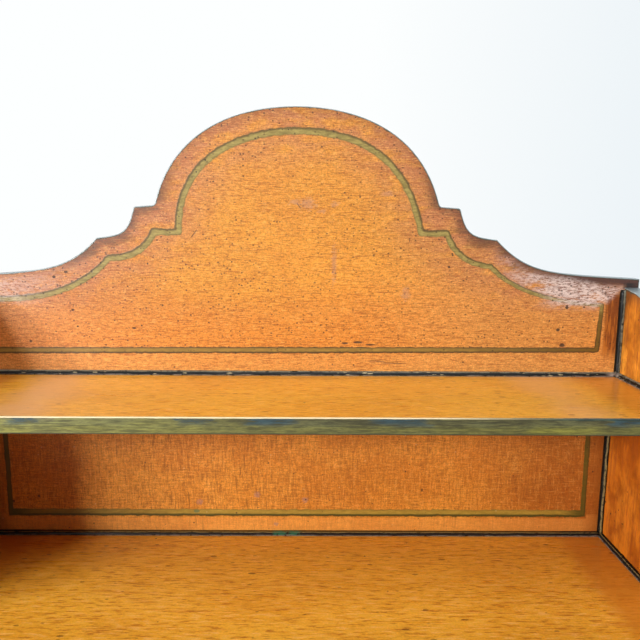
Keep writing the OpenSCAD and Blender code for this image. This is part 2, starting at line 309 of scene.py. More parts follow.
class Board:
    """A board made of rings of one outline, joined round its rim, and faces of small triangles."""

    def __init__(self, place):
        self.bm = bmesh.new()
        self.place = place
        self.flat = {}

    def vert(self, p, depth):
        v = self.bm.verts.new(self.place(p.x, p.y, depth))
        self.flat[v] = (Vector((p.x, p.y)), depth)
        return v

    def ring(self, outline, depth):
        return [self.vert(p, depth) for p in outline]

    def arris(self, outline, depth, turn):
        """Rings that round the outline's edge off, from the rim to the face at this depth."""
        rings = []
        for k in range(ARRIS_STEPS + 1):
            a = k / ARRIS_STEPS * math.pi / 2
            step_in = ARRIS * (1 - math.cos(a))
            rings.append(self.ring(inset(outline, step_in), depth + turn * ARRIS * (1 - math.sin(a))))
        return rings

    def skirt(self, rings, slot=RIM):
        for _, face in join(self.bm, rings):
            face.material_index = slot
            face.smooth = True

    def slab(self, outline, thick):
        """The rim and arrises of a plain board, as its outermost and innermost rings of both faces."""
        front = self.arris(outline, 0, 1)
        back = self.arris(outline, thick, -1)
        for rings in ([front[0], back[0]], front, back):
            self.skirt(rings)
        return front[-1], back[-1]

    def fill(self, ring, spacing, slot, holes=()):
        """Fills a ring with small triangles, round any holes."""
        fixed = [v for loop in [ring, *holes] for v in loop]
        outlines = [[self.flat[v][0] for v in loop] for loop in [ring, *holes]]
        depth = self.flat[ring[0]][1]
        free = np.array(staggered(outlines[0], spacing)).reshape(-1, 2)
        edges = []
        for outline in outlines:
            start, count = len(edges), len(outline)
            edges += [(start + i, start + (i + 1) % count) for i in range(count)]
            free = free[distance_to(free, outline)[0] > 0.5 * spacing]
        for outline in outlines[1:]:
            free = free[~inside(free, outline)]
        places = sum(outlines, []) + [Vector(p) for p in free]
        mode = 2 if holes else 1
        found, _, triangles, origins, _, _ = delaunay_2d_cdt(places, edges, [], mode, SAME)
        verts = []
        for p, origin in zip(found, origins):
            known = [i for i in origin if i < len(fixed)]
            verts.append(fixed[known[0]] if known else self.vert(p, depth))
        for triangle in triangles:
            corners = [verts[i] for i in triangle]
            if len(set(corners)) == 3:
                self.bm.faces.new(corners).material_index = slot

    def finish(self, name, nodes, materials, outline, stripe=None, slot="side_paint"):
        """Makes the object, with each point's distance to the outline and its place across the stripe."""
        bmesh.ops.remove_doubles(self.bm, verts=self.bm.verts, dist=SAME)
        flat = [tuple(self.flat[v][0]) for v in self.bm.verts]
        mesh = make_mesh(name, self.bm)
        save(mesh, "edge", distance_to(flat, outline)[0])
        if stripe:
            loop, widths = stripe
            away_from, width = distance_to(flat, loop, widths)
            save(mesh, "stripe", np.where(inside(flat, loop), -away_from, away_from) / width)
        return add_piece(name, mesh, nodes, materials)


def join(bm, rings):
    """Joins each ring of points to the next by faces, each given with its place round the ring."""
    faces = []
    for a, b in zip(rings, rings[1:]):
        for i in range(len(a)):
            j = (i + 1) % len(a)
            faces.append((i, bm.faces.new((a[i], a[j], b[j], b[i]))))
    return faces


def make_mesh(name, bm):
    """The mesh of a finished shape, with its faces turned outwards."""
    bmesh.ops.recalc_face_normals(bm, faces=bm.faces)
    mesh = bpy.data.meshes.new(name)
    bm.to_mesh(mesh)
    bm.free()
    return mesh


def save(mesh, name, values):
    """Stores a number for each point of a mesh."""
    layer = mesh.attributes.new(name, "FLOAT", "POINT")
    layer.data.foreach_set("value", np.array(values, np.float32))


def add_piece(name, mesh, nodes, materials):
    """Makes a piece that rides on the body and stands for the CAD nodes given."""
    for material in materials:
        mesh.materials.append(material)
    piece = bpy.data.objects.new(name, mesh)
    bpy.context.scene.collection.objects.link(piece)
    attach(piece, BODY)
    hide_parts(*nodes)
    return piece


def staggered(outline, spacing):
    """Points in staggered rows inside a closed outline."""
    xs = [p.x for p in outline]
    ys = [p.y for p in outline]
    rise = spacing * math.sqrt(3) / 2
    points = []
    for row in range(int((max(ys) - min(ys)) / rise) + 1):
        shift = 0.25 * spacing if row % 2 else 0.75 * spacing
        count = int((max(xs) - min(xs)) / spacing) + 1
        points += [(min(xs) + shift + i * spacing, min(ys) + (row + 0.5) * rise) for i in range(count)]
    kept = inside(points, outline)
    return [p for p, keep in zip(points, kept) if keep]


# Node trees
SEED_STEPS = (7.3, 3.1, 5.7)
# Where a speck's blot ends and is full, outside and inside its radius, as shares of the largest radius
SPECK_EDGE = (-0.15, 0.2)
SPECK_LEAST = 0.3
# Distances from an oval's middle, as shares of its size, where it ends and where it is full
OVAL_EDGE = (1.25, 0.75)


class Value:
    """A number in a node tree, which takes part in sums as a Python number does."""

    def __init__(self, tree, socket):
        self.tree = tree
        self.socket = socket

    def __add__(self, other):
        return self.tree.math("ADD", self, other)

    def __sub__(self, other):
        return self.tree.math("SUBTRACT", self, other)

    def __rsub__(self, other):
        return self.tree.math("SUBTRACT", other, self)

    def __mul__(self, other):
        return self.tree.math("MULTIPLY", self, other)

    def __abs__(self):
        return self.tree.math("ABSOLUTE", self)

    def rise(self, none, full, top=1.0):
        """Rises smoothly from 0, where this is none, to top, where it is full."""
        node = self.tree.node("MapRange", self, none, full, 0.0, top)
        node.interpolation_type = "SMOOTHSTEP"
        return Value(self.tree, node.outputs[0])


class Coat:
    """A colour in a node tree, built up by laying others over it."""

    def __init__(self, tree, colour):
        self.tree = tree
        self.socket = colour.socket if isinstance(colour, Coat) else colour

    def lay(self, colour, share):
        """Lays a colour over it, as thickly as a share of 0 to 1 says."""
        node = self.tree.node("Mix", share)
        node.data_type = "RGBA"
        self.tree.put(node.inputs[6], self)
        self.tree.put(node.inputs[7], colour)
        self.socket = node.outputs[2]
        return self

    def dim(self, factor):
        """Makes it darker or lighter by a factor."""
        self.socket = self.tree.node("VectorMath", self, operation="SCALE", Scale=factor).outputs[0]
        return self


class Tree:
    """The nodes of a material or a world."""

    def __init__(self, owner, coordinates):
        self.owner = owner
        owner.use_nodes = True
        self.nodes = owner.node_tree.nodes
        self.where = self.node("TexCoord").outputs[coordinates]
        self.x, self.y, self.z = [Value(self, out) for out in self.node("SeparateXYZ", self.where).outputs]

    def put(self, socket, value):
        """Sets a socket to a number or colour, or links it."""
        if isinstance(value, (Value, Coat)):
            value = value.socket
        if isinstance(value, bpy.types.NodeSocket):
            self.owner.node_tree.links.new(value, socket)
        else:
            socket.default_value = value

    def node(self, kind, *values, operation=None, **named):
        """Adds a node, and sets or links its first inputs, and those named."""
        node = self.nodes.new("ShaderNode" + kind)
        if operation:
            node.operation = operation
        for socket, value in zip(node.inputs, values):
            self.put(socket, value)
        for name, value in named.items():
            self.put(node.inputs[name], value)
        return node

    def math(self, operation, a, b=0.0):
        return Value(self, self.node("Math", a, b, operation=operation).outputs[0])

    def most(self, a, b):
        return self.math("MAXIMUM", a, b)

    def length(self, vector):
        node = self.node("VectorMath", vector, operation="LENGTH")
        return Value(self, node.outputs["Value"])

    def spaced(self, scale, shift):
        """Coordinates stretched by a scale for each axis, or one for all, and then moved."""
        scales = scale if isinstance(scale, tuple) else (scale, scale, scale)
        return self.node("VectorMath", self.where, scales, shift, operation="MULTIPLY_ADD").outputs[0]

    def noise(self, scale, detail, roughness=0.5, twist=0.0, *, seed):
        """Noise of about 0 to 1, with this many waves to the metre."""
        where = self.spaced(scale, seed_shift(seed))
        node = self.node("TexNoise", where, Scale=1.0, Detail=detail, Roughness=roughness, Distortion=twist)
        return Value(self, node.outputs[0])

    def specks(self, scale, share, size, seed):
        """Spots in a share of the cells of a grid, of random sizes up to this part of a cell."""
        node = self.node("TexVoronoi", self.spaced(scale, seed_shift(seed)), Scale=1.0)
        apart = self.node("SeparateColor", node.outputs["Color"])
        chance, spread = [Value(self, out) for out in apart.outputs[:2]]
        radius = (spread * (1 - SPECK_LEAST) + SPECK_LEAST) * size
        depth = radius - Value(self, node.outputs["Distance"])
        spot = depth.rise(*[edge * size for edge in SPECK_EDGE])
        return spot * self.math("LESS_THAN", chance, share)

    def ovals(self, places, floor, ragged=0.0):
        """Soft upright ovals, each given as x, height over a floor, half width and half height."""
        covered = 0.0
        for x, height, wide, high in places:
            z = floor + height
            reach = self.length(self.spaced((1 / wide, 0, 1 / high), (-x / wide, 0, -z / high)))
            covered = self.most((reach + ragged).rise(*OVAL_EDGE), covered)
        return covered


class Paint(Tree):
    """A material and the nodes that paint it."""

    def __init__(self, name):
        super().__init__(bpy.data.materials.new(name), "Object")
        self.shader = self.nodes["Principled BSDF"]

    def attribute(self, name):
        node = self.node("Attribute")
        node.attribute_name = name
        return Value(self, node.outputs["Fac"])

    def finish(self, colour, roughness, height, coat=0.0, coat_roughness=0.2, specular=0.5, metallic=0.0):
        """Links the colour, roughness and height, in metres, and returns the material."""
        bump = self.node("Bump", Distance=1.0, Strength=1.0, Height=height)
        for name, value in (
            ("Base Color", colour),
            ("Roughness", roughness),
            ("Normal", bump.outputs[0]),
            ("Coat Weight", coat),
            ("Coat Roughness", coat_roughness),
            ("Specular IOR Level", specular),
            ("Metallic", metallic),
        ):
            self.put(self.shader.inputs[name], value)
        return self.owner


def seed_shift(seed):
    """Moves a pattern to a part of its endless field that no other seed shows."""
    return [seed * step for step in SEED_STEPS]


# Colours
def rgb(*levels):
    """A colour given as it looks on a screen, as red, green and blue from 0 to 255."""
    linear = [c / 255 / 12.92 if c < 10 else ((c / 255 + 0.055) / 1.055) ** 2.4 for c in levels]
    return (*linear, 1)


GOLD = rgb(232, 157, 58)
ORANGE = rgb(219, 140, 53)
DEEP_ORANGE = rgb(206, 125, 42)
ROSE = rgb(194, 126, 84)
RED_BROWN = rgb(112, 52, 12)
GRAIN = rgb(146, 70, 26)
PALE_GRAIN = rgb(250, 192, 112)
BROWN = rgb(120, 68, 34)
DARK_BROWN = rgb(62, 34, 20)
BLACK_BROWN = rgb(28, 18, 16)
OCHRE = rgb(216, 156, 84)
# Whitish painted sheen, a painted reflection, and the dark flecks within it
SHEEN_WHITE = rgb(230, 214, 208)
SHEEN_DARK = rgb(122, 86, 72)
PLUM_BROWN = rgb(64, 40, 38)
LAVENDER = rgb(160, 124, 122)
OLIVE = rgb(134, 121, 62)
OLIVE_PALE = rgb(158, 143, 80)
OLIVE_GOLD = rgb(138, 110, 44)
# Olive of the stripe where shade is painted on it
OLIVE_SHADE = rgb(90, 72, 22)
OLIVE_DARK = rgb(84, 68, 30)
TEAL = rgb(48, 104, 76)
EDGE_GREEN = rgb(58, 60, 42)
LIP_OLIVE = rgb(82, 78, 44)
LIP_GREEN = rgb(122, 118, 60)
LIP_GREY = rgb(100, 102, 68)
LIP_YELLOW = rgb(120, 116, 46)
LIP_BLUE = rgb(44, 66, 72)
LIP_PURPLE = rgb(92, 76, 82)
LIP_TEAL = rgb(30, 54, 48)
CREAM = rgb(238, 218, 172)
BEAD_GREEN = rgb(16, 22, 19)
BEAD_GREY = rgb(122, 120, 104)
GILT = rgb(204, 192, 154)
BEAD_BROWN = rgb(82, 62, 26)
INNER_LOW = rgb(194, 116, 26)
INNER_HIGH = rgb(238, 168, 56)
# Deeper inner-side colour: painted shade in the bays below the top shelf
INNER_SHADE = rgb(170, 84, 4)
INNER_RIM = rgb(96, 50, 14)
PANEL_GOLD = rgb(172, 140, 44)
PANEL_DARK = rgb(66, 62, 12)
# Painted shade in the bays' corners
PANEL_CORNER_SHADE = rgb(140, 74, 14)
PANEL_DEEP = rgb(206, 126, 38)
PANEL_WARM = rgb(226, 149, 52)
PANEL_BROWN = rgb(134, 66, 14)
PANEL_PALE = rgb(244, 164, 76)
WEAVE = rgb(134, 64, 16)
THREAD = rgb(250, 186, 104)
CRACK = rgb(96, 44, 8)
SHELF_DEEP = rgb(222, 154, 42)
SHELF_GOLD = rgb(236, 173, 53)
SHELF_STREAK = rgb(190, 114, 34)
# Pale colour of a painted sheen on the top shelf
SHELF_SHEEN = rgb(222, 164, 104)
SHELF_END = rgb(190, 112, 30)
SHELF_UNDER = rgb(168, 98, 40)
LIP_DARK = rgb(34, 36, 26)
BEAD_BLACK = rgb(9, 11, 10)
BEAD_SHADE = rgb(24, 13, 5)
BEAD_TAN = rgb(142, 124, 80)
# Dusty grey on the beads, partly a painted highlight
DUST_AND_HIGHLIGHT = rgb(140, 130, 122)
EDGE_DEEP = rgb(74, 84, 66)
EDGE_PALE = rgb(120, 130, 112)
EDGE_DARK = rgb(44, 48, 38)
EDGE_WOOD = rgb(176, 150, 96)
# Pale painted sheen on the edges near the sides' tops
EDGE_SHEEN = rgb(142, 156, 162)
WOOD = rgb(160, 118, 76)
WOOD_BAND = rgb(128, 88, 54)
WOOD_GRAIN = rgb(86, 58, 36)
STEEL = rgb(150, 148, 142)
RUST = rgb(96, 70, 52)
FLOOR_DEEP = rgb(220, 220, 220)
FLOOR_PALE = rgb(224, 224, 224)
BACKDROP = rgb(248, 251, 252)
BACKDROP_LEFT = rgb(253, 255, 255)
BACKDROP_RIGHT = rgb(236, 243, 247)
WHITE = (1, 1, 1, 1)


# Paints
def lay_stripe(t, paint, across, seed, gilt=0.0, brown=0.0, gold=OLIVE_GOLD):
    """Lays the olive stripe over some paint: across is -1 to 1 from its inner to its outer edge."""
    wobble = t.noise(110, 3, 0.6, seed=seed)
    shade = t.noise((70, 70, 260), 3, 0.7, seed=seed + 0.5)
    shifted = across + (wobble - 0.5) * 0.9
    olive = Coat(t, OLIVE).lay(OLIVE_PALE, shade.rise(0.35, 0.68))
    # The brown share paints shade over the stripe
    olive.lay(gold, gilt).lay(OLIVE_SHADE, brown)
    rim = shifted.rise(0.25, 0.65, 0.92) + shifted.rise(-0.50, -0.85, 0.40)
    olive.lay(OLIVE_DARK, rim).dim(shade + 0.5)
    body = abs(shifted).rise(1.15, 0.85)
    paint.lay(olive, body * 0.95)
    return body


# Scratches on the crest, as ends in x and height over the shelf
CREST_SCRATCHES = [
    ((-0.144, 0.1895), (-0.135, 0.2015)),
    ((-0.001, 0.2375), (0.005, 0.2290)),
    ((0.098, 0.0206), (0.124, 0.0198)),
    ((0.116, 0.0176), (0.150, 0.0170)),
]
# Places on the crest, as x, height over the shelf, half width and half height
CREST_SMUDGES = [
    (-0.003, 0.238, 0.007, 0.003),
    (0.013, 0.236, 0.009, 0.007),
    (0.033, 0.226, 0.006, 0.0022),
    (0.050, 0.235, 0.005, 0.003),
    (0.121, 0.250, 0.007, 0.003),
    (0.050, 0.155, 0.003, 0.020),
    (0.149, 0.115, 0.005, 0.008),
]
CREST_DENTS = [
    (0.0663, 0.0455, 0.0045, 0.0012),
    (0.0844, 0.0468, 0.0060, 0.0014),
    (0.1012, 0.0432, 0.0060, 0.0012),
    (0.3724, 0.0975, 0.0020, 0.0030),
    (0.3620, 0.0655, 0.0026, 0.0022),
    (0.3690, 0.0443, 0.0036, 0.0030),
    (0.3959, 0.0975, 0.0016, 0.0013),
    (0.2072, 0.1521, 0.0018, 0.0015),
    (-0.3321, 0.1357, 0.0022, 0.0018),
    (-0.3154, 0.1426, 0.0026, 0.0016),
    (-0.3088, 0.0903, 0.0018, 0.0017),
    (-0.3694, 0.0466, 0.0018, 0.0017),
    (-0.2259, 0.0656, 0.0028, 0.0016),
]
# Lower edge of the painted sheen at both ends, cut along the side boards' reflection: a point of it, as x
# and height over the shelf, and its slope
SHEEN_START, SHEEN_SLOPE = Vector((0.424, 0.101)), 0.93
# Distance from the middle where the strip outside the upright stripe begins
END_STRIP_X = 0.4255


def crest_sheen(t, across, edge, up, ragged):
    """Where a whitish sheen is painted as a reflection, over the stripe of both ends and mostly on the
    right.
    """
    along = t.x + ragged * 0.06
    reach = along.rise(0.25, 0.37) + along.rise(-0.26, -0.44, 0.45)
    over_end = up.rise(0.090, 0.106) * abs(along).rise(0.32, 0.39)
    band = t.most(across.rise(0.0, 2.2), over_end)
    over_corner = up - SHEEN_START.y - (abs(t.x) - SHEEN_START.x) * SHEEN_SLOPE + ragged * 0.02
    band = band * over_corner.rise(-0.006, 0.010) * up.rise(0.080, 0.094)
    inward = edge + ragged * 0.01 - t.x.rise(0.37, 0.45) * 0.008
    return reach * band * inward.rise(0.001, 0.014)


def crest_ground(t, edge, up, clouds, patches):
    """The crest's paint without its grain: gold in the middle, rosy and deeper towards its edges, with
    painted shade over the arch, the left and the lower right.
    """
    out = abs(t.x)
    middle = out.rise(0.40, 0.10) * up.rise(0.02, 0.16)
    paint = Coat(t, ORANGE).lay(GOLD, (clouds * 0.5 + patches * 0.2 + middle * 0.3).rise(0.40, 0.66))
    paint.lay(DEEP_ORANGE, (up + patches * 0.04).rise(0.11, 0.03, 0.5))
    paint.lay(DEEP_ORANGE, t.x.rise(0.30, 0.43, 0.7) * up.rise(0.09, 0.06))
    paint.lay(OCHRE, (t.x + patches * 0.06).rise(0.08, 0.30, 0.5))
    glaze = edge.rise(0.110, 0.008) * patches.rise(0.28, 0.58) * up.rise(0.06, 0.12)
    paint.lay(ROSE, glaze * 0.9)
    paint.lay(ROSE, (t.x + patches * 0.06).rise(-0.12, -0.38, 0.35))
    worn = (edge + patches * 0.014).rise(0.026, 0.005, 0.45) * up.rise(0.08, 0.13)
    paint.lay(BROWN, worn)
    paint.lay(OCHRE, up.rise(0.034, 0.028, 0.45))
    # Painted shade: darker over the arch, on the left and at the lower right
    shaded_arch = (up + t.most(t.x, 0.0) * 0.3).rise(0.15, 0.24)
    shaded_left = t.x.rise(0.05, -0.10) * up.rise(0.05, 0.13)
    shaded_right = t.x.rise(0.15, 0.32) * up.rise(0.12, 0.07, 0.8)
    return paint.dim(1.0 - t.most(t.most(shaded_arch, shaded_left), shaded_right) * 0.13)


def crest_marks(t, clouds, patches, brush):
    """Brown specks, and the near-black dots, dents and scratches, of the crest."""
    where = (clouds * 0.5 + patches * 0.5).rise(0.42, 0.56)
    specks = t.specks((250, 250, 300), 0.26, 0.38, seed=7) * (where * 0.6 + 0.4)
    specks *= t.z.rise(top_z + 0.020, top_z + 0.045, 0.75) + 0.25
    dots = t.specks((60, 60, 62), 0.6, 0.10, seed=8)
    dents = t.ovals(CREST_DENTS, top_z, (brush - 0.5) * 2)
    for (x0, z0), (x1, z1) in CREST_SCRATCHES:
        start, run = Vector((x0, top_z + z0)), Vector((x1 - x0, z1 - z0))
        length = run.length
        along = (t.x - start.x) * (run.x / length) + (t.z - start.y) * (run.y / length)
        aside = (t.x - start.x) * (run.y / length) - (t.z - start.y) * (run.x / length)
        line = abs(aside).rise(0.0010, 0.0004)
        line *= abs(along - length / 2).rise(length / 2, length / 3)
        dents = t.most(dents, line * 0.8)
    return specks, t.most(dots, dents)


def crest_paint():
    """Ochre paint brushed along X, with dark specks, a painted whitish sheen at its ends and the olive
    stripe.
    """
    t = Paint("crest_paint")
    edge, across = t.attribute("edge"), t.attribute("stripe")
    up = t.z - top_z
    out = abs(t.x)
    clouds = t.noise((5, 5, 8), 3, seed=1)
    patches = t.noise((22, 22, 60), 4, 0.6, seed=2)
    brush = t.noise((30, 30, 560), 4, 0.7, seed=3)
    fine = t.noise((130, 130, 800), 3, 0.7, seed=4)
    grit = t.noise(600, 1, seed=9)
    paint = crest_ground(t, edge, up, clouds, patches)
    paint.lay(GRAIN, brush.rise(0.51, 0.64, 0.50))
    paint.lay(GRAIN, fine.rise(0.51, 0.64, 0.55))
    paint.lay(PALE_GRAIN, fine.rise(0.46, 0.33, 0.40))
    paint.dim(grit + 0.5)
    plum = (edge + patches * 0.014).rise(0.028, 0.013, 0.9) * t.x.rise(0.26, 0.38)
    paint.lay(PLUM_BROWN, plum * up.rise(0.08, 0.10))
    brushed = edge + (patches - 0.5) * 0.050 + (brush - 0.5) * 0.030
    stain = brushed.rise(0.019, 0.001, 0.66) * up.rise(0.14, 0.16)
    stain = stain * out.rise(0.150, 0.195) * t.x.rise(-0.345, -0.290)
    paint.lay(PLUM_BROWN, stain)
    # Dark red-brown strip outside the upright stripe, beside each side board: partly its own paint, partly
    # painted shade from the side board
    end_strip = out.rise(END_STRIP_X - 0.002, END_STRIP_X + 0.003)
    upright = t.noise((360, 360, 40), 3, 0.65, seed=5)
    worn = Coat(t, RED_BROWN).lay(DEEP_ORANGE, (upright - up).rise(0.38, 0.56, 0.5))
    paint.lay(worn, end_strip * up.rise(0.012, 0.045) * up.rise(0.124, 0.110, 0.92))
    gilt = up.rise(0.075, 0.050, 0.85)
    # Painted shade on the stripe at the lower right
    brown = t.x.rise(0.16, 0.38) * up.rise(0.098, 0.085, 0.9)
    stripe = lay_stripe(t, paint, across, 30, gilt, brown)
    lined = abs(across).rise(0.40, 0.85, 0.7) * up.rise(0.090, 0.055)
    paint.lay(DARK_BROWN, stripe * lined)
    # Painted reflection: a whitish sheen with dark flecks over both ends
    scratches = t.noise((200, 200, 640), 4, 0.75, seed=6)
    sheen_colour = Coat(t, SHEEN_DARK).lay(SHEEN_WHITE, scratches.rise(0.38, 0.57))
    sheen_mask = crest_sheen(t, across, edge, up, patches - 0.5)
    paint.lay(sheen_colour, sheen_mask * (patches * 0.6 + scratches * 0.4).rise(0.37, 0.52, 0.88))
    specks, marks = crest_marks(t, clouds, patches, brush)
    paint.lay(DARK_BROWN, specks * 0.8)
    paint.lay(BLACK_BROWN, marks * 0.85)
    smudges = t.ovals(CREST_SMUDGES, top_z, (fine - 0.5) * 5)
    paint.lay(LAVENDER, smudges * 0.34)
    ragged = edge + (t.noise(150, 3, seed=10) - 0.5) * 0.004
    paint.lay(EDGE_GREEN, ragged.rise(0.0026, 0.0012, 0.9))
    # Painted shadow in the crease where the crest's face meets the top of each side board
    notch_shadow = up.rise(SIDE_TOP + 0.008, SIDE_TOP + 0.005) * up.rise(SIDE_TOP - 0.003, SIDE_TOP)
    hook = out.rise(inner_x - 0.004, inner_x - 0.001)
    hook *= out.rise(inner_x + 0.018, inner_x + 0.008, 0.6)
    notch_shadow *= hook + out.rise(inner_x, inner_x + 0.004, 0.35)
    paint.lay(BLACK_BROWN, notch_shadow)
    roughness = patches * 0.2 + 0.30 + marks * 0.2
    height = brush * 0.00014 + fine * 0.00008 + stripe * 0.00008 - marks * 0.0003 - specks * 0.0001
    return t.finish(paint, roughness, height, coat=0.1, coat_roughness=0.3)


# Middle of the boards' stripe, from their edge, and its half width
STRIPE_INSET, STRIPE_HALF = 0.027, 0.0042


def board_paint(name, low, high, rim, striped, mottle, bay_shade=None):
    """Blotchy ochre paint with upright brown streaks, for the sides and the apron, with painted shade below
    the top shelf when a shade colour is given.
    """
    t = Paint(name)
    edge = t.attribute("edge")
    clouds = t.noise((9, 9, 6), 4, 0.6, seed=11)
    blotches = t.noise((38, 38, 26), 4, 0.65, seed=12)
    streaks = t.noise((260, 260, 14), 3, 0.6, seed=13)
    fine = t.noise((480, 480, 60), 2, seed=14)
    # Painted shade: below the top shelf the colours turn deeper
    if bay_shade:
        gallery = t.z.rise(top_z - 0.020, top_z)
        high = Coat(t, low).lay(high, gallery)
        low = Coat(t, bay_shade).lay(low, gallery)
    paint = Coat(t, low).lay(high, (clouds * 0.5 + blotches * 0.5).rise(0.40, 0.64))
    paint.lay(low, blotches.rise(0.54, 0.70, 0.6))
    paint.dim(blotches * mottle + (1 - mottle / 2))
    paint.lay(GRAIN, streaks.rise(0.48, 0.66, 0.5) + fine.rise(0.52, 0.68, 0.4))
    glaze = (edge + blotches * 0.02).rise(0.030, 0.006, 0.75)
    paint.lay(rim, glaze)
    body = 0.0
    if striped:
        across = (STRIPE_INSET - edge) * (1 / STRIPE_HALF)
        body = lay_stripe(t, paint, across, 15)
    small = t.specks((190, 190, 200), 0.10, 0.36, seed=16)
    dots = t.specks((60, 60, 62), 0.5, 0.10, seed=17)
    marks = t.most(small * 0.65, dots)
    paint.lay(DARK_BROWN, marks)
    ragged = edge + (t.noise(150, 3, seed=18) - 0.5) * 0.005
    paint.lay(EDGE_GREEN, ragged.rise(0.0030, 0.0014, 0.9))
    height = streaks * 0.00012 + fine * 0.00006 + body * 0.00008 - marks * 0.0003
    return t.finish(paint, blotches * 0.22 + 0.30, height, coat=0.1, coat_roughness=0.3)


# Middle of a bay's stripe, from the bay's middle and from a shelf, each with its half width
PANEL_STRIPE_X, PANEL_STRIPE_W = 0.4209, 0.0036
PANEL_STRIPE_Z, PANEL_STRIPE_H = 0.0336, 0.0052
# Places on the panel, as x, height over the second shelf, half width and half height
PANEL_SMUDGES = [
    (-0.1433, 0.0498, 0.0040, 0.0040),
    (-0.0596, 0.0610, 0.0045, 0.0045),
    (0.0109, 0.0534, 0.0040, 0.0040),
    (-0.0319, 0.0157, 0.0035, 0.0030),
]
PANEL_DOTS = [
    (-0.3787, 0.0583, 0.0018, 0.0018),
    (-0.4158, 0.0505, 0.0018, 0.0018),
    (0.0120, 0.0540, 0.0012, 0.0012),
    (0.1824, 0.0695, 0.0013, 0.0026),
]
PANEL_TOUCHES = [(-0.148, 0.0355, 0.0035, 0.0020)]


def panel_paint():
    """Ochre paint crazed like linen, with an olive frame in each bay and a stained back."""
    t = Paint("panel_paint")
    clouds = t.noise((6, 6, 8), 4, 0.6, seed=21)
    patches = t.noise(30, 4, 0.6, seed=22)
    upright = t.noise((540, 540, 60), 2, 0.6, seed=23)
    level = t.noise((70, 70, 540), 2, 0.6, seed=24)
    grit = t.noise(600, 1, seed=25)
    paint = Coat(t, PANEL_DEEP).lay(PANEL_WARM, (clouds * 0.6 + patches * 0.4).rise(0.38, 0.60))
    paint.lay(PANEL_BROWN, (t.x + patches * 0.08).rise(0.24, 0.46, 0.6))
    weave = upright.rise(0.48, 0.60, 0.45) + level.rise(0.48, 0.60, 0.45)
    paint.lay(WEAVE, weave * (patches * 0.9 + 0.15))
    threads = t.most(upright.rise(0.42, 0.34), level.rise(0.42, 0.34))
    paint.lay(THREAD, threads * 0.18)
    cracks = t.noise((380, 380, 44), 2, seed=26)
    crazed = t.x.rise(-0.34, -0.22) * (t.x + patches * 0.3).rise(0.30, 0.0)
    paint.lay(CRACK, cracks.rise(0.60, 0.69, 0.5) * crazed)
    paint.dim(grit + 0.5)
    body = 0.0
    for i in range(1, len(SHELVES)):
        low = shelf_tops[i] + PANEL_STRIPE_Z
        high = shelf_tops[i - 1] - shelf_t - PANEL_STRIPE_Z
        middle, half = (low + high) / 2, (high - low) / 2
        sideways = (abs(t.x) - PANEL_STRIPE_X) * (1 / PANEL_STRIPE_W)
        outward = t.most(sideways, (abs(t.z - middle) - half) * (1 / PANEL_STRIPE_H))
        # Painted shade on the stripes' left part, where the left side board shades the bays
        stripe = lay_stripe(t, paint, outward, 31 + i, 0.75, t.x.rise(-0.10, -0.36, 0.5), PANEL_GOLD)
        body = stripe + body
        strip = outward.rise(1.2, 1.8) * t.z.rise(low, low - 0.004)
        strip *= t.z.rise(shelf_tops[i] - 0.002, shelf_tops[i])
        paint.lay(PANEL_PALE, strip * 0.4)
        upright_part = abs(t.x).rise(PANEL_STRIPE_X - 0.040, PANEL_STRIPE_X - 0.002, 0.85)
        paint.lay(PANEL_DARK, stripe * t.most(upright_part, outward.rise(0.15, 0.60, 0.85)))
    # Painted shade in the bays' corners beside the side boards
    corner_shade = (abs(t.x) + patches * 0.03).rise(inner_x - 0.022, inner_x + 0.012, 0.75)
    paint.lay(PANEL_CORNER_SHADE, corner_shade)
    small = t.specks(190, 0.05, 0.36, seed=27)
    flecks = t.specks(190, 0.02, 0.32, seed=28)
    paint.lay(DARK_BROWN, small * 0.8)
    paint.lay(CREAM, flecks * 0.4)
    smudges = t.ovals(PANEL_SMUDGES, shelf_tops[1], (grit - 0.5) * 2)
    paint.lay(LAVENDER, smudges * 0.45)
    paint.lay(BLACK_BROWN, t.ovals(PANEL_DOTS, shelf_tops[1]) * 0.8)
    paint.lay(TEAL, t.ovals(PANEL_TOUCHES, shelf_tops[1], (patches - 0.5) * 2) * 0.6)
    rear = t.y.rise(back_y - 0.002, back_y - 0.001)
    paint.lay(plain_colour(t, upright_grain=False)[0], rear)
    roughness = patches * 0.2 + 0.36
    height = weave * -0.00008 + body * 0.00006 - small * 0.0002
    return t.finish(paint, roughness, height, coat=0.05, coat_roughness=0.3)


# Places along the top shelf's front edge, as x and half length
LIP_BRUISES = [(-0.290, 0.026), (-0.107, 0.020), (-0.020, 0.032), (0.118, 0.032), (0.372, 0.022)]
LIP_PALE = [(-0.31, 0.03), (0.295, 0.045)]
LIP_PLUM = [(-0.268, 0.012)]
# Places on the top shelf with a painted sheen, where the varnish is also rougher, as x and half width
SHELF_DULL_AND_SHEEN = [(-0.315, 0.065), (0.325, 0.060)]


def along_x(t, spans, ragged, step):
    """Rises to 1 inside any of some spans along X, moved along by a step for another shelf."""
    covered = 0.0
    for x, half in spans:
        covered = t.most((abs(t.x - x - step) + ragged).rise(half, 0.5 * half), covered)
    return covered


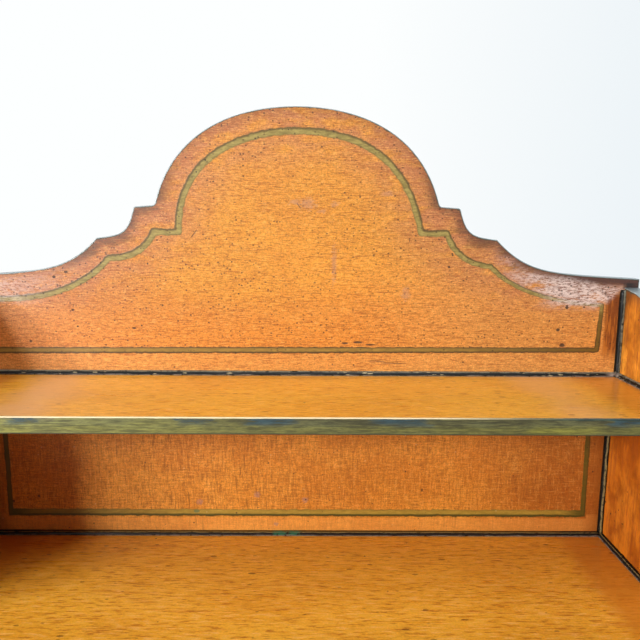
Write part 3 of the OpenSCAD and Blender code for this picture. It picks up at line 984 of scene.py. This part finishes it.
def shelf_paint(name, front, top, step, dull_and_sheen_places):
    """Streaky ochre paint on a shelf, with a cream arris that is worn paint and a painted highlight, a
    mottled green front edge, and a painted sheen at any places given.
    """
    t = Paint(name)
    inward = t.y - front
    down = top - t.z
    clouds = t.noise((5, 9, 9), 4, 0.6, seed=41 + step)
    streaks = t.noise((12, 130, 130), 4, 0.6, seed=42 + step)
    fine = t.noise((60, 420, 420), 3, 0.6, seed=43 + step)
    grit = t.noise(420, 1, seed=48 + step)
    paint = Coat(t, SHELF_DEEP).lay(SHELF_GOLD, (clouds * 0.5 + streaks * 0.5).rise(0.38, 0.60))
    paint.lay(SHELF_STREAK, streaks.rise(0.54, 0.68, 0.5))
    paint.lay(GRAIN, fine.rise(0.52, 0.66, 0.6))
    paint.lay(PALE_GRAIN, fine.rise(0.46, 0.34, 0.45))
    paint.dim(grit * 0.4 + 0.8)
    dull_and_sheen = 0.0
    for x, half in dull_and_sheen_places:
        dull_and_sheen = (abs(t.x - x) + (clouds - 0.5) * 0.10 + (streaks - 0.5) * 0.04).rise(half, 0.0) + dull_and_sheen
        # Painted sheen with painted glints near the back at these places; the varnish is also rougher there
        flecks = t.specks(260, 0.22, 0.40, seed=49) * inward.rise(0.150, 0.185)
        paint.lay(SHELF_SHEEN, dull_and_sheen * (streaks * 0.9 + 0.1))
        paint.lay(CREAM, dull_and_sheen * flecks * 0.5)
    paint.lay(SHELF_END, (abs(t.x) + streaks * 0.02).rise(0.375, 0.410, 0.7))
    under = down.rise(shelf_t - 0.004, shelf_t - 0.001)
    paint.lay(SHELF_UNDER, under * 0.7)
    dashes = t.specks((70, 170, 170), 0.07, 0.34, seed=44 + step)
    dots = t.specks((40, 50, 50), 0.14, 0.08, seed=45 + step)
    marks = t.most(dashes * 0.6, dots)
    paint.lay(DARK_BROWN, marks)
    lip, wear = lip_colour(t, down, step)
    ragged = (wear - 0.5) * 0.003
    on_lip = (inward + ragged).rise(0.0022, 0.0010)
    paint.lay(lip, on_lip)
    # Cream upper arris: worn paint, and a painted highlight along it
    worn = (inward + ragged * 0.4).rise(0.0019, 0.0009) * (down + ragged * 0.4).rise(0.0019, 0.0009)
    worn *= (t.x - step).rise(0.30, 0.12, 0.92)
    paint.lay(CREAM, worn)
    roughness = streaks * 0.14 + 0.22 + on_lip * 0.16 + dull_and_sheen * 0.12
    height = streaks * 0.00008 + fine * 0.00005 + on_lip * wear * 0.00015 - marks * 0.0002
    return t.finish(paint, roughness, height, coat=0.35, coat_roughness=0.14)


def lip_colour(t, down, step):
    """Mottled green paint of a shelf's front edge, blue where it is bruised, and its wear."""
    mottle = t.noise((16, 80, 110), 4, 0.65, seed=46 + step)
    wear = t.noise((50, 260, 480), 3, 0.7, seed=47 + step)
    lit = (t.x - step + (mottle - 0.5) * 0.3).rise(0.0, -0.22)
    lip = Coat(t, LIP_OLIVE).lay(LIP_GREEN, lit)
    lip.lay(LIP_GREY, mottle.rise(0.46, 0.62, 0.4))
    pale = along_x(t, LIP_PALE, (mottle - 0.5) * 0.05, step)
    low = (down + wear * 0.006).rise(0.010, 0.016)
    lip.lay(LIP_YELLOW, low * (pale * 0.5 + 0.4))
    bruised = along_x(t, LIP_BRUISES, (mottle - 0.5) * 0.10, step)
    high = (down + mottle * 0.014 + wear * 0.004).rise(0.020, 0.013)
    lip.lay(LIP_BLUE, bruised * high * wear.rise(0.36, 0.48, 0.95))
    plum = along_x(t, LIP_PLUM, (wear - 0.5) * 0.04, step)
    lip.lay(LIP_PURPLE, plum * (down + wear * 0.010).rise(0.012, 0.006) * 0.4)
    line = (down + wear * 0.002).rise(0.0045, 0.0025, 0.85)
    lip.lay(LIP_TEAL, (t.x - step).rise(0.26, 0.32) * line)
    lines = t.noise((18, 300, 1100), 2, 0.6, seed=50 + step)
    lip.dim(lines.rise(0.40, 0.62, 0.36) + 0.82)
    lip.dim(wear.rise(0.36, 0.64, 0.80) + 0.58)
    lip.lay(BLACK_BROWN, wear.rise(0.60, 0.72, 0.5))
    lip.lay(LIP_DARK, (down + wear * 0.001).rise(shelf_t - 0.0018, shelf_t - 0.0006, 0.75))
    return lip, wear


# Place of a teal touch on the upper bay's back bead: its distance left of the middle, and half its length
TOUCH_LEFT, TOUCH_HALF = 0.0155, 0.024


def bead_paint(name, base, shade, line_colour, line_start, line_end):
    """Thick dark gloss paint, gold where it is worn, dusty grey that is partly a painted highlight, and a
    pale line that is a painted highlight on the bay beads.
    """
    t = Paint(name)
    around = t.attribute("around")
    lumps = t.noise(60, 4, 0.6, seed=51)
    fine = t.noise(420, 3, 0.6, seed=52)
    wear = t.noise(150, 3, 0.6, seed=54)
    paint = Coat(t, base).lay(shade, ((lumps - 0.5) * 0.4 + around).rise(line_end - 0.12, line_end + 0.04))
    paint.lay(BEAD_BLACK, (abs(t.x) + lumps * 0.03).rise(0.380, 0.420))
    # The pale line: an olive line of dirt along the gallery bead's top, and a painted highlight along the
    # middle of the bay beads
    moved = around + (lumps - 0.5) * 0.2
    line = moved.rise(line_end, line_end - 0.08) * moved.rise(line_start - 0.08, line_start)
    paint.lay(line_colour, line * wear.rise(0.30, 0.50, 0.85))
    touched = abs(t.x + TOUCH_LEFT).rise(TOUCH_HALF, TOUCH_HALF - 0.008)
    touched *= abs(t.z - shelf_tops[1]).rise(0.010, 0.006)
    paint.lay(TEAL, touched * wear.rise(0.40, 0.55, 0.7))
    # Dust and painted highlight on the part of the bead that lies on the shelf, and at the gallery's right
    # corner
    dust_and_highlight = (around + (lumps - 0.5) * 0.4).rise(0.78, 0.95)
    corner = t.x.rise(inner_x - 0.022, inner_x - 0.008) * abs(t.z - top_z).rise(0.008, 0.003)
    corner *= t.y.rise(crest_y - 0.016, crest_y - 0.008)
    paint.lay(DUST_AND_HIGHLIGHT, t.most(dust_and_highlight * 0.8, corner) * wear.rise(0.32, 0.48, 0.9))
    chips = t.specks((80, 480, 480), 0.55, 0.37, seed=53)
    chips *= (lumps + t.x.rise(-0.10, 0.20, 0.09)).rise(0.43, 0.55)
    chips = chips * around.rise(0.98, 0.80) * (abs(t.z - top_z).rise(0.009, 0.007, 0.9) + 0.1)
    paint.lay(GILT, chips * 0.65)
    height = lumps * 0.0005 + fine * 0.0001
    return t.finish(paint, fine * 0.3 + 0.25, height, coat=0.05, coat_roughness=0.15, specular=0.15)


def edge_paint():
    """Dark green paint on the sawn edges of the boards, rubbed to grey and wood, with a painted pale sheen
    near the height of the sides' tops.
    """
    t = Paint("edge_paint")
    mottle = t.noise(30, 4, 0.65, seed=61)
    wear = t.noise(160, 3, 0.7, seed=62)
    paint = Coat(t, EDGE_DEEP).lay(EDGE_PALE, mottle.rise(0.40, 0.62))
    paint.lay(EDGE_DARK, wear.rise(0.50, 0.66, 0.7))
    side_top = top_z + SIDE_TOP
    rubbed = (wear * 0.5 + mottle * 0.5).rise(0.60, 0.68, 0.7)
    paint.lay(EDGE_WOOD, rubbed * t.z.rise(side_top + 0.009, side_top + 0.005))
    # Painted sheen on the edges near the height of the sides' tops
    top_sheen = (t.z + wear * 0.01).rise(side_top - 0.030, side_top - 0.008)
    top_sheen *= abs(t.x).rise(half_w + 0.001, half_w)
    paint.lay(EDGE_SHEEN, top_sheen * 0.8)
    return t.finish(paint, mottle * 0.25 + 0.28, mottle * 0.0002 + wear * 0.00025, coat=0.2)


def plain_colour(t, upright_grain):
    """Stained bare wood: its colour and its grain."""
    stretch = (340, 340, 7) if upright_grain else (7, 340, 340)
    wide = (40, 40, 2) if upright_grain else (2, 40, 40)
    grain = t.noise(stretch, 4, 0.65, seed=71)
    bands = t.noise(wide, 3, 0.6, twist=1.2, seed=72)
    paint = Coat(t, WOOD).lay(WOOD_BAND, bands.rise(0.36, 0.64))
    paint.lay(WOOD_GRAIN, grain.rise(0.52, 0.70, 0.65))
    return paint, grain


def plain_wood(name, upright_grain):
    """Bare wood, a little dirty, whose grain runs up or along X."""
    t = Paint(name)
    paint, grain = plain_colour(t, upright_grain)
    dirt = t.noise(6, 4, 0.6, seed=73)
    paint.dim(dirt * 0.5 + 0.75)
    return t.finish(paint, grain * 0.2 + 0.6, grain * 0.0003)


def steel():
    """Dull steel, browned by rust."""
    t = Paint("steel")
    tarnish = t.noise(500, 4, 0.6, seed=81)
    paint = Coat(t, STEEL).lay(RUST, tarnish.rise(0.46, 0.62, 0.8))
    return t.finish(paint, tarnish * 0.3 + 0.35, tarnish * 0.00005, metallic=0.7)


# Boards
# Radii of a screw hole's mouth in the crest's back, each with its depth
SCREW_MOUTH = ((0.0041, 0.0), (0.0021, 0.002), (0.0021, 0.003))
# Heights of the screws over the top shelf
SCREW_HEIGHTS = (0.030, 0.095)


def make_crest(materials):
    """The crest board, with its screw holes from behind."""
    outline = no_repeats(crest_outline())
    board = Board(lambda u, v, depth: Vector((u, crest_y + depth, v)))
    thick = back_y - crest_y
    front, back = board.slab(outline, thick)
    board.fill(front, CREST_GRID, FACE)
    mouths = []
    for side in (-1, 1):
        for h in SCREW_HEIGHTS:
            centre = Vector((side * (inner_x + half_w) / 2, top_z + h))
            rings = []
            for radius, sunk in SCREW_MOUTH:
                circle = [away(centre, a, radius) for a in range(0, 360, ARC_STEP)]
                rings.append(board.ring(circle, thick - sunk))
            board.skirt(rings, REVERSE)
            board.bm.faces.new(rings[-1]).material_index = REVERSE
            mouths.append(rings[0])
    board.fill(back, BACK_GRID, REVERSE, mouths)
    return board.finish("crest", ["crest_board"], materials, outline, crest_stripe(), "crest_paint")


def no_repeats(outline):
    """An outline without points that lie on the one before them."""
    return [p for i, p in enumerate(outline) if (p - outline[i - 1]).length > SAME]


REBATE_W = 0.010


def make_side(side, materials):
    """A side board, whose rebate shows as a step between an outer and an inner outline."""
    outer = no_repeats(side_outline(rebated=False))
    inner = no_repeats(side_outline(rebated=True))
    board = Board(lambda u, v, depth: Vector((side * (half_w - depth), u, v)))
    thick = half_w - inner_x
    middle = inner_x + REBATE_W
    outside = board.arris(outer, 0, 1)
    inside_rings = board.arris(inner, thick, -1)
    shared_outer = board.ring(outer, half_w - middle)
    shared_inner = board.ring(inner, half_w - middle)
    board.skirt([shared_outer, *outside])
    board.skirt([shared_inner, *inside_rings])
    board.fill(outside[-1], FACE_GRID, FACE)
    board.fill(inside_rings[-1], INSIDE_GRID, REVERSE)
    rebate = [shared_outer[1], shared_outer[2], shared_outer[3], shared_inner[2]]
    board.bm.faces.new(rebate).material_index = RIM
    node = "left_side" if side < 0 else "right_side"
    return board.finish(node + "_board", [node], materials, outer)


def make_apron(materials):
    """The apron under the bottom shelf."""
    outline = no_repeats(apron_outline())
    board = Board(lambda u, v, depth: Vector((u, apron_low.y + depth, v)))
    front, back = board.slab(outline, apron_high.y - apron_low.y)
    board.fill(front, FACE_GRID, FACE)
    board.fill(back, APRON_GRID, REVERSE)
    return board.finish("apron", ["front_apron"], materials, outline)


# Corner beads
BEAD_R = 0.006
# Length between a bead's rings, points round its face, and share of its radius left at a free end
BEAD_STEP, BEAD_ARC, BEAD_TIP = 0.005, 7, 0.80
# Waves of its lumps to the metre, and their height as a share of its radius
WIDE_LUMPS, FINE_LUMPS, LUMP_SHARE = 55, 160, 0.09
# Share of its lumps that is left along its two edges
EDGE_LUMPS = 0.2
# Part of the paint's pattern round a bead that an upright bead shows
CORNER_AROUND = (0.28, 0.72)


class Bead:
    """A quarter-round bead along a corner, between two faces that meet there."""

    def __init__(self, corner, along, first, second, length, far_mitre, seed):
        self.corner, self.along, self.first, self.second = corner, along, first, second
        self.length = length
        self.far_mitre = far_mitre
        self.seed = seed

    def point(self, share, around):
        """A point at a share of the bead's length and of the way round it, lumpy with paint."""
        a = math.pi / 2 * around
        u, v = math.cos(a), math.sin(a)
        reach = max(u, v) * BEAD_R
        start = min(reach, self.length / 2)
        end = self.length - (reach if self.far_mitre else 0)
        s = start + (end - start) * share
        tip = 1.0 if self.far_mitre else min(1.0, BEAD_TIP + (self.length - s) / (2 * BEAD_R))
        middle = self.corner + self.along * s
        wide_lump = noise.noise(middle * WIDE_LUMPS + Vector((self.seed, a, 0)))
        fine_lump = noise.noise(middle * FINE_LUMPS + Vector((a, self.seed, 0)))
        hold = min(1, 4 * around * (1 - around) + EDGE_LUMPS)
        radius = BEAD_R * tip * (1 + LUMP_SHARE * (wide_lump + 0.5 * fine_lump) * hold)
        return middle + radius * (u * self.first + v * self.second)

    def make(self, name, material):
        """The bead as a piece, which stands for the CAD bead of its name."""
        bm = bmesh.new()
        count = max(4, int(self.length / BEAD_STEP))
        rings = []
        for share in [i / count for i in range(count + 1)]:
            places = [self.corner + self.along * (self.length * share)]
            places += [self.point(share, k / (BEAD_ARC - 1)) for k in range(BEAD_ARC)]
            rings.append([bm.verts.new(place) for place in places])
        first_around, last_around = CORNER_AROUND if self.along.z else (0.0, 1.0)
        shares = [max(0, k - 1) / (BEAD_ARC - 1) for k in range(BEAD_ARC + 1)]
        around = [first_around + (last_around - first_around) * share for share in shares] * len(rings)
        for i, face in join(bm, rings):
            face.smooth = 0 < i < BEAD_ARC
        for ring in (rings[0], rings[-1]):
            for i in range(1, len(ring) - 1):
                bm.faces.new((ring[0], ring[i], ring[i + 1]))
        mesh = make_mesh(name, bm)
        save(mesh, "around", around)
        return add_piece(name + "_strip", mesh, [name + "_bead"], [material])


def make_beads(gallery_paint, bay_paint):
    """The five beads of every bay."""
    right, up, forward = Vector((1, 0, 0)), Vector((0, 0, 1)), Vector((0, -1, 0))
    for i, bay in enumerate(BAYS):
        face = crest_y if i == 0 else panel_y
        material = gallery_paint if i == 0 else bay_paint
        top = shelf_tops[i]
        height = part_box(bay + "_left_corner_bead")[1].z - top
        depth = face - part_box(bay + "_left_shelf_bead")[0].y
        left = Vector((-inner_x, face, top))
        Bead(left, right, up, forward, 2 * inner_x, True, i).make(bay + "_back", material)
        for side, word in ((-1, "left"), (1, "right")):
            corner = Vector((side * inner_x, face, top))
            across = Vector((-side, 0, 0))
            upright = Bead(corner, up, forward, across, height, False, 10 + i + side)
            upright.make(f"{bay}_{word}_corner", material)
            level = Bead(corner, forward, up, across, depth, False, 20 + i + side)
            level.make(f"{bay}_{word}_shelf", material)


# Dressing the bookcase
def repaint(node, material):
    """Gives a CAD node one material."""
    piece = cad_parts[node]
    piece.data.materials.clear()
    piece.data.materials.append(material)


# Moves of each shelf's pattern along X
SHELF_STEPS = (0.0, 0.11, -0.13, 0.07, -0.05)

edges = edge_paint()
outer_paint = board_paint("side_outer_paint", DEEP_ORANGE, GOLD, BROWN, striped=True, mottle=0.8)
inner_paint = board_paint(
    "side_inner_paint", INNER_LOW, INNER_HIGH, INNER_RIM, striped=False, mottle=1.9, bay_shade=INNER_SHADE
)
bare = plain_wood("bare_wood", upright_grain=True)
stained = plain_wood("stained_wood", upright_grain=False)
make_crest([crest_paint(), stained, edges])
for side in (-1, 1):
    make_side(side, [outer_paint, inner_paint, edges])
make_apron([outer_paint, stained, edges])
repaint("back_panel", panel_paint())
for name, front, top, step in zip(SHELVES, shelf_fronts, shelf_tops, SHELF_STEPS):
    dull_and_sheen_places = SHELF_DULL_AND_SHEEN if top == top_z else []
    repaint(name, shelf_paint(name + "_paint", front, top, step, dull_and_sheen_places))
for name in ("left_glue_block", "right_glue_block"):
    repaint(name, bare)
for name in ("crest_screws", "panel_pins"):
    repaint(name, steel())
make_beads(
    bead_paint("bead_paint", BEAD_GREEN, BEAD_BLACK, BEAD_GREY, 0.0, 0.44),
    bead_paint("bay_bead_paint", BEAD_BROWN, BEAD_SHADE, BEAD_TAN, 0.41, 0.51),
)


# Floor, light and camera
# Distances over which the floor fades, and parts of the view from left to right where the backdrop does
FLOOR_NEAR, FLOOR_FAR = 1.1, 3.0
FLOOR_SIZE = 14
BACKDROP_FADE = (0.08, 0.50)
AMBIENT = 0.05


def make_floor():
    """A plain pale floor, which fades into the backdrop well away from the bookcase."""
    t = Paint("floor")
    shade = t.noise(1.5, 3, seed=91)
    paint = Coat(t, FLOOR_DEEP).lay(FLOOR_PALE, shade.rise(0.3, 0.7))
    material = t.finish(paint, shade * 0.1 + 0.75, shade * 0.0001, specular=0.2)
    seen = Value(t, t.node("LightPath").outputs["Is Camera Ray"])
    share = seen * t.length(t.where).rise(FLOOR_NEAR, FLOOR_FAR)
    choice = t.node("MixShader", share, t.shader.outputs[0], t.node("Emission", BACKDROP).outputs[0])
    t.put(t.nodes["Material Output"].inputs["Surface"], choice.outputs[0])
    bpy.ops.mesh.primitive_grid_add(x_subdivisions=8, y_subdivisions=8, size=FLOOR_SIZE)
    floor = bpy.context.object
    floor.name = "floor"
    floor.data.materials.append(material)


def make_world():
    """Soft light from all round; the camera and reflections see a pale backdrop, bluer to the right."""
    world = bpy.data.worlds.new("studio")
    bpy.context.scene.world = world
    t = Tree(world, "Generated")
    lit = t.node("Background", WHITE, AMBIENT)
    fade = t.node("MapRange", t.x, *BACKDROP_FADE)
    seen = t.nodes["Background"]
    t.put(seen.inputs["Color"], Coat(t, BACKDROP_LEFT).lay(BACKDROP_RIGHT, Value(t, fade.outputs[0])))
    t.put(seen.inputs["Strength"], 1.0)
    path = t.node("LightPath")
    shown = Value(t, path.outputs["Is Camera Ray"])
    for kind in ("Is Glossy Ray", "Is Transmission Ray"):
        shown = t.most(shown, Value(t, path.outputs[kind]))
    choice = t.node("MixShader", shown, lit.outputs[0], seen.outputs[0])
    t.put(t.nodes["World Output"].inputs["Surface"], choice.outputs[0])


TARGET = Vector((0, 0.05, 1.25))


def make_lamp(name, place, size, power, colour):
    """A soft square lamp that points at the middle of the photographed part."""
    data = bpy.data.lights.new(name, "AREA")
    data.shape = "SQUARE"
    data.size = size
    data.energy = power
    data.color = colour
    lamp = bpy.data.objects.new(name, data)
    lamp.location = place
    lamp.rotation_euler = (TARGET - Vector(place)).to_track_quat("-Z", "Y").to_euler()
    bpy.context.scene.collection.objects.link(lamp)


# The camera's place, its turn in degrees and its lens in millimetres
CAMERA_PLACE = (0.02674, -0.67196, 1.4472)
CAMERA_YAW, CAMERA_PITCH, CAMERA_ROLL = 0.31636, 8.78148, 0.3183
CAMERA_LENS = 34.4284


def make_camera():
    """The photograph's camera, worked out from the straight lines in the picture."""
    yaw, pitch, roll = [math.radians(a) for a in (CAMERA_YAW, CAMERA_PITCH, CAMERA_ROLL)]
    ahead = Vector((math.sin(yaw) * math.cos(pitch), math.cos(yaw) * math.cos(pitch), -math.sin(pitch)))
    level = Vector((math.cos(yaw), -math.sin(yaw), 0))
    up = level.cross(ahead)
    right = level * math.cos(roll) + up * math.sin(roll)
    above = up * math.cos(roll) - level * math.sin(roll)
    data = bpy.data.cameras.new("camera")
    data.sensor_width = 36
    data.lens = CAMERA_LENS
    data.clip_start = 0.05
    camera = bpy.data.objects.new("camera", data)
    turn = Matrix((right, above, -ahead)).transposed().to_4x4()
    camera.matrix_world = Matrix.Translation(CAMERA_PLACE) @ turn
    bpy.context.scene.collection.objects.link(camera)
    bpy.context.scene.camera = camera


make_floor()
make_world()
make_lamp("key", (-1.98, -2.13, 2.0), 0.55, 56, (1.0, 0.98, 0.95))
make_lamp("window", (-2.80, -1.93, 1.9), 0.6, 72, (1.0, 0.99, 0.97))
make_lamp("overhead", (0.1, -0.9, 3.55), 1.5, 37, (1.0, 1.0, 1.0))
make_lamp("right", (2.5, 0.8, 1.8), 1.2, 40, (0.97, 0.98, 1.0))
make_lamp("rear", (0.3, 2.7, 2.2), 1.8, 45, (1.0, 1.0, 1.0))
make_camera()
bpy.context.scene.view_settings.view_transform = "Standard"
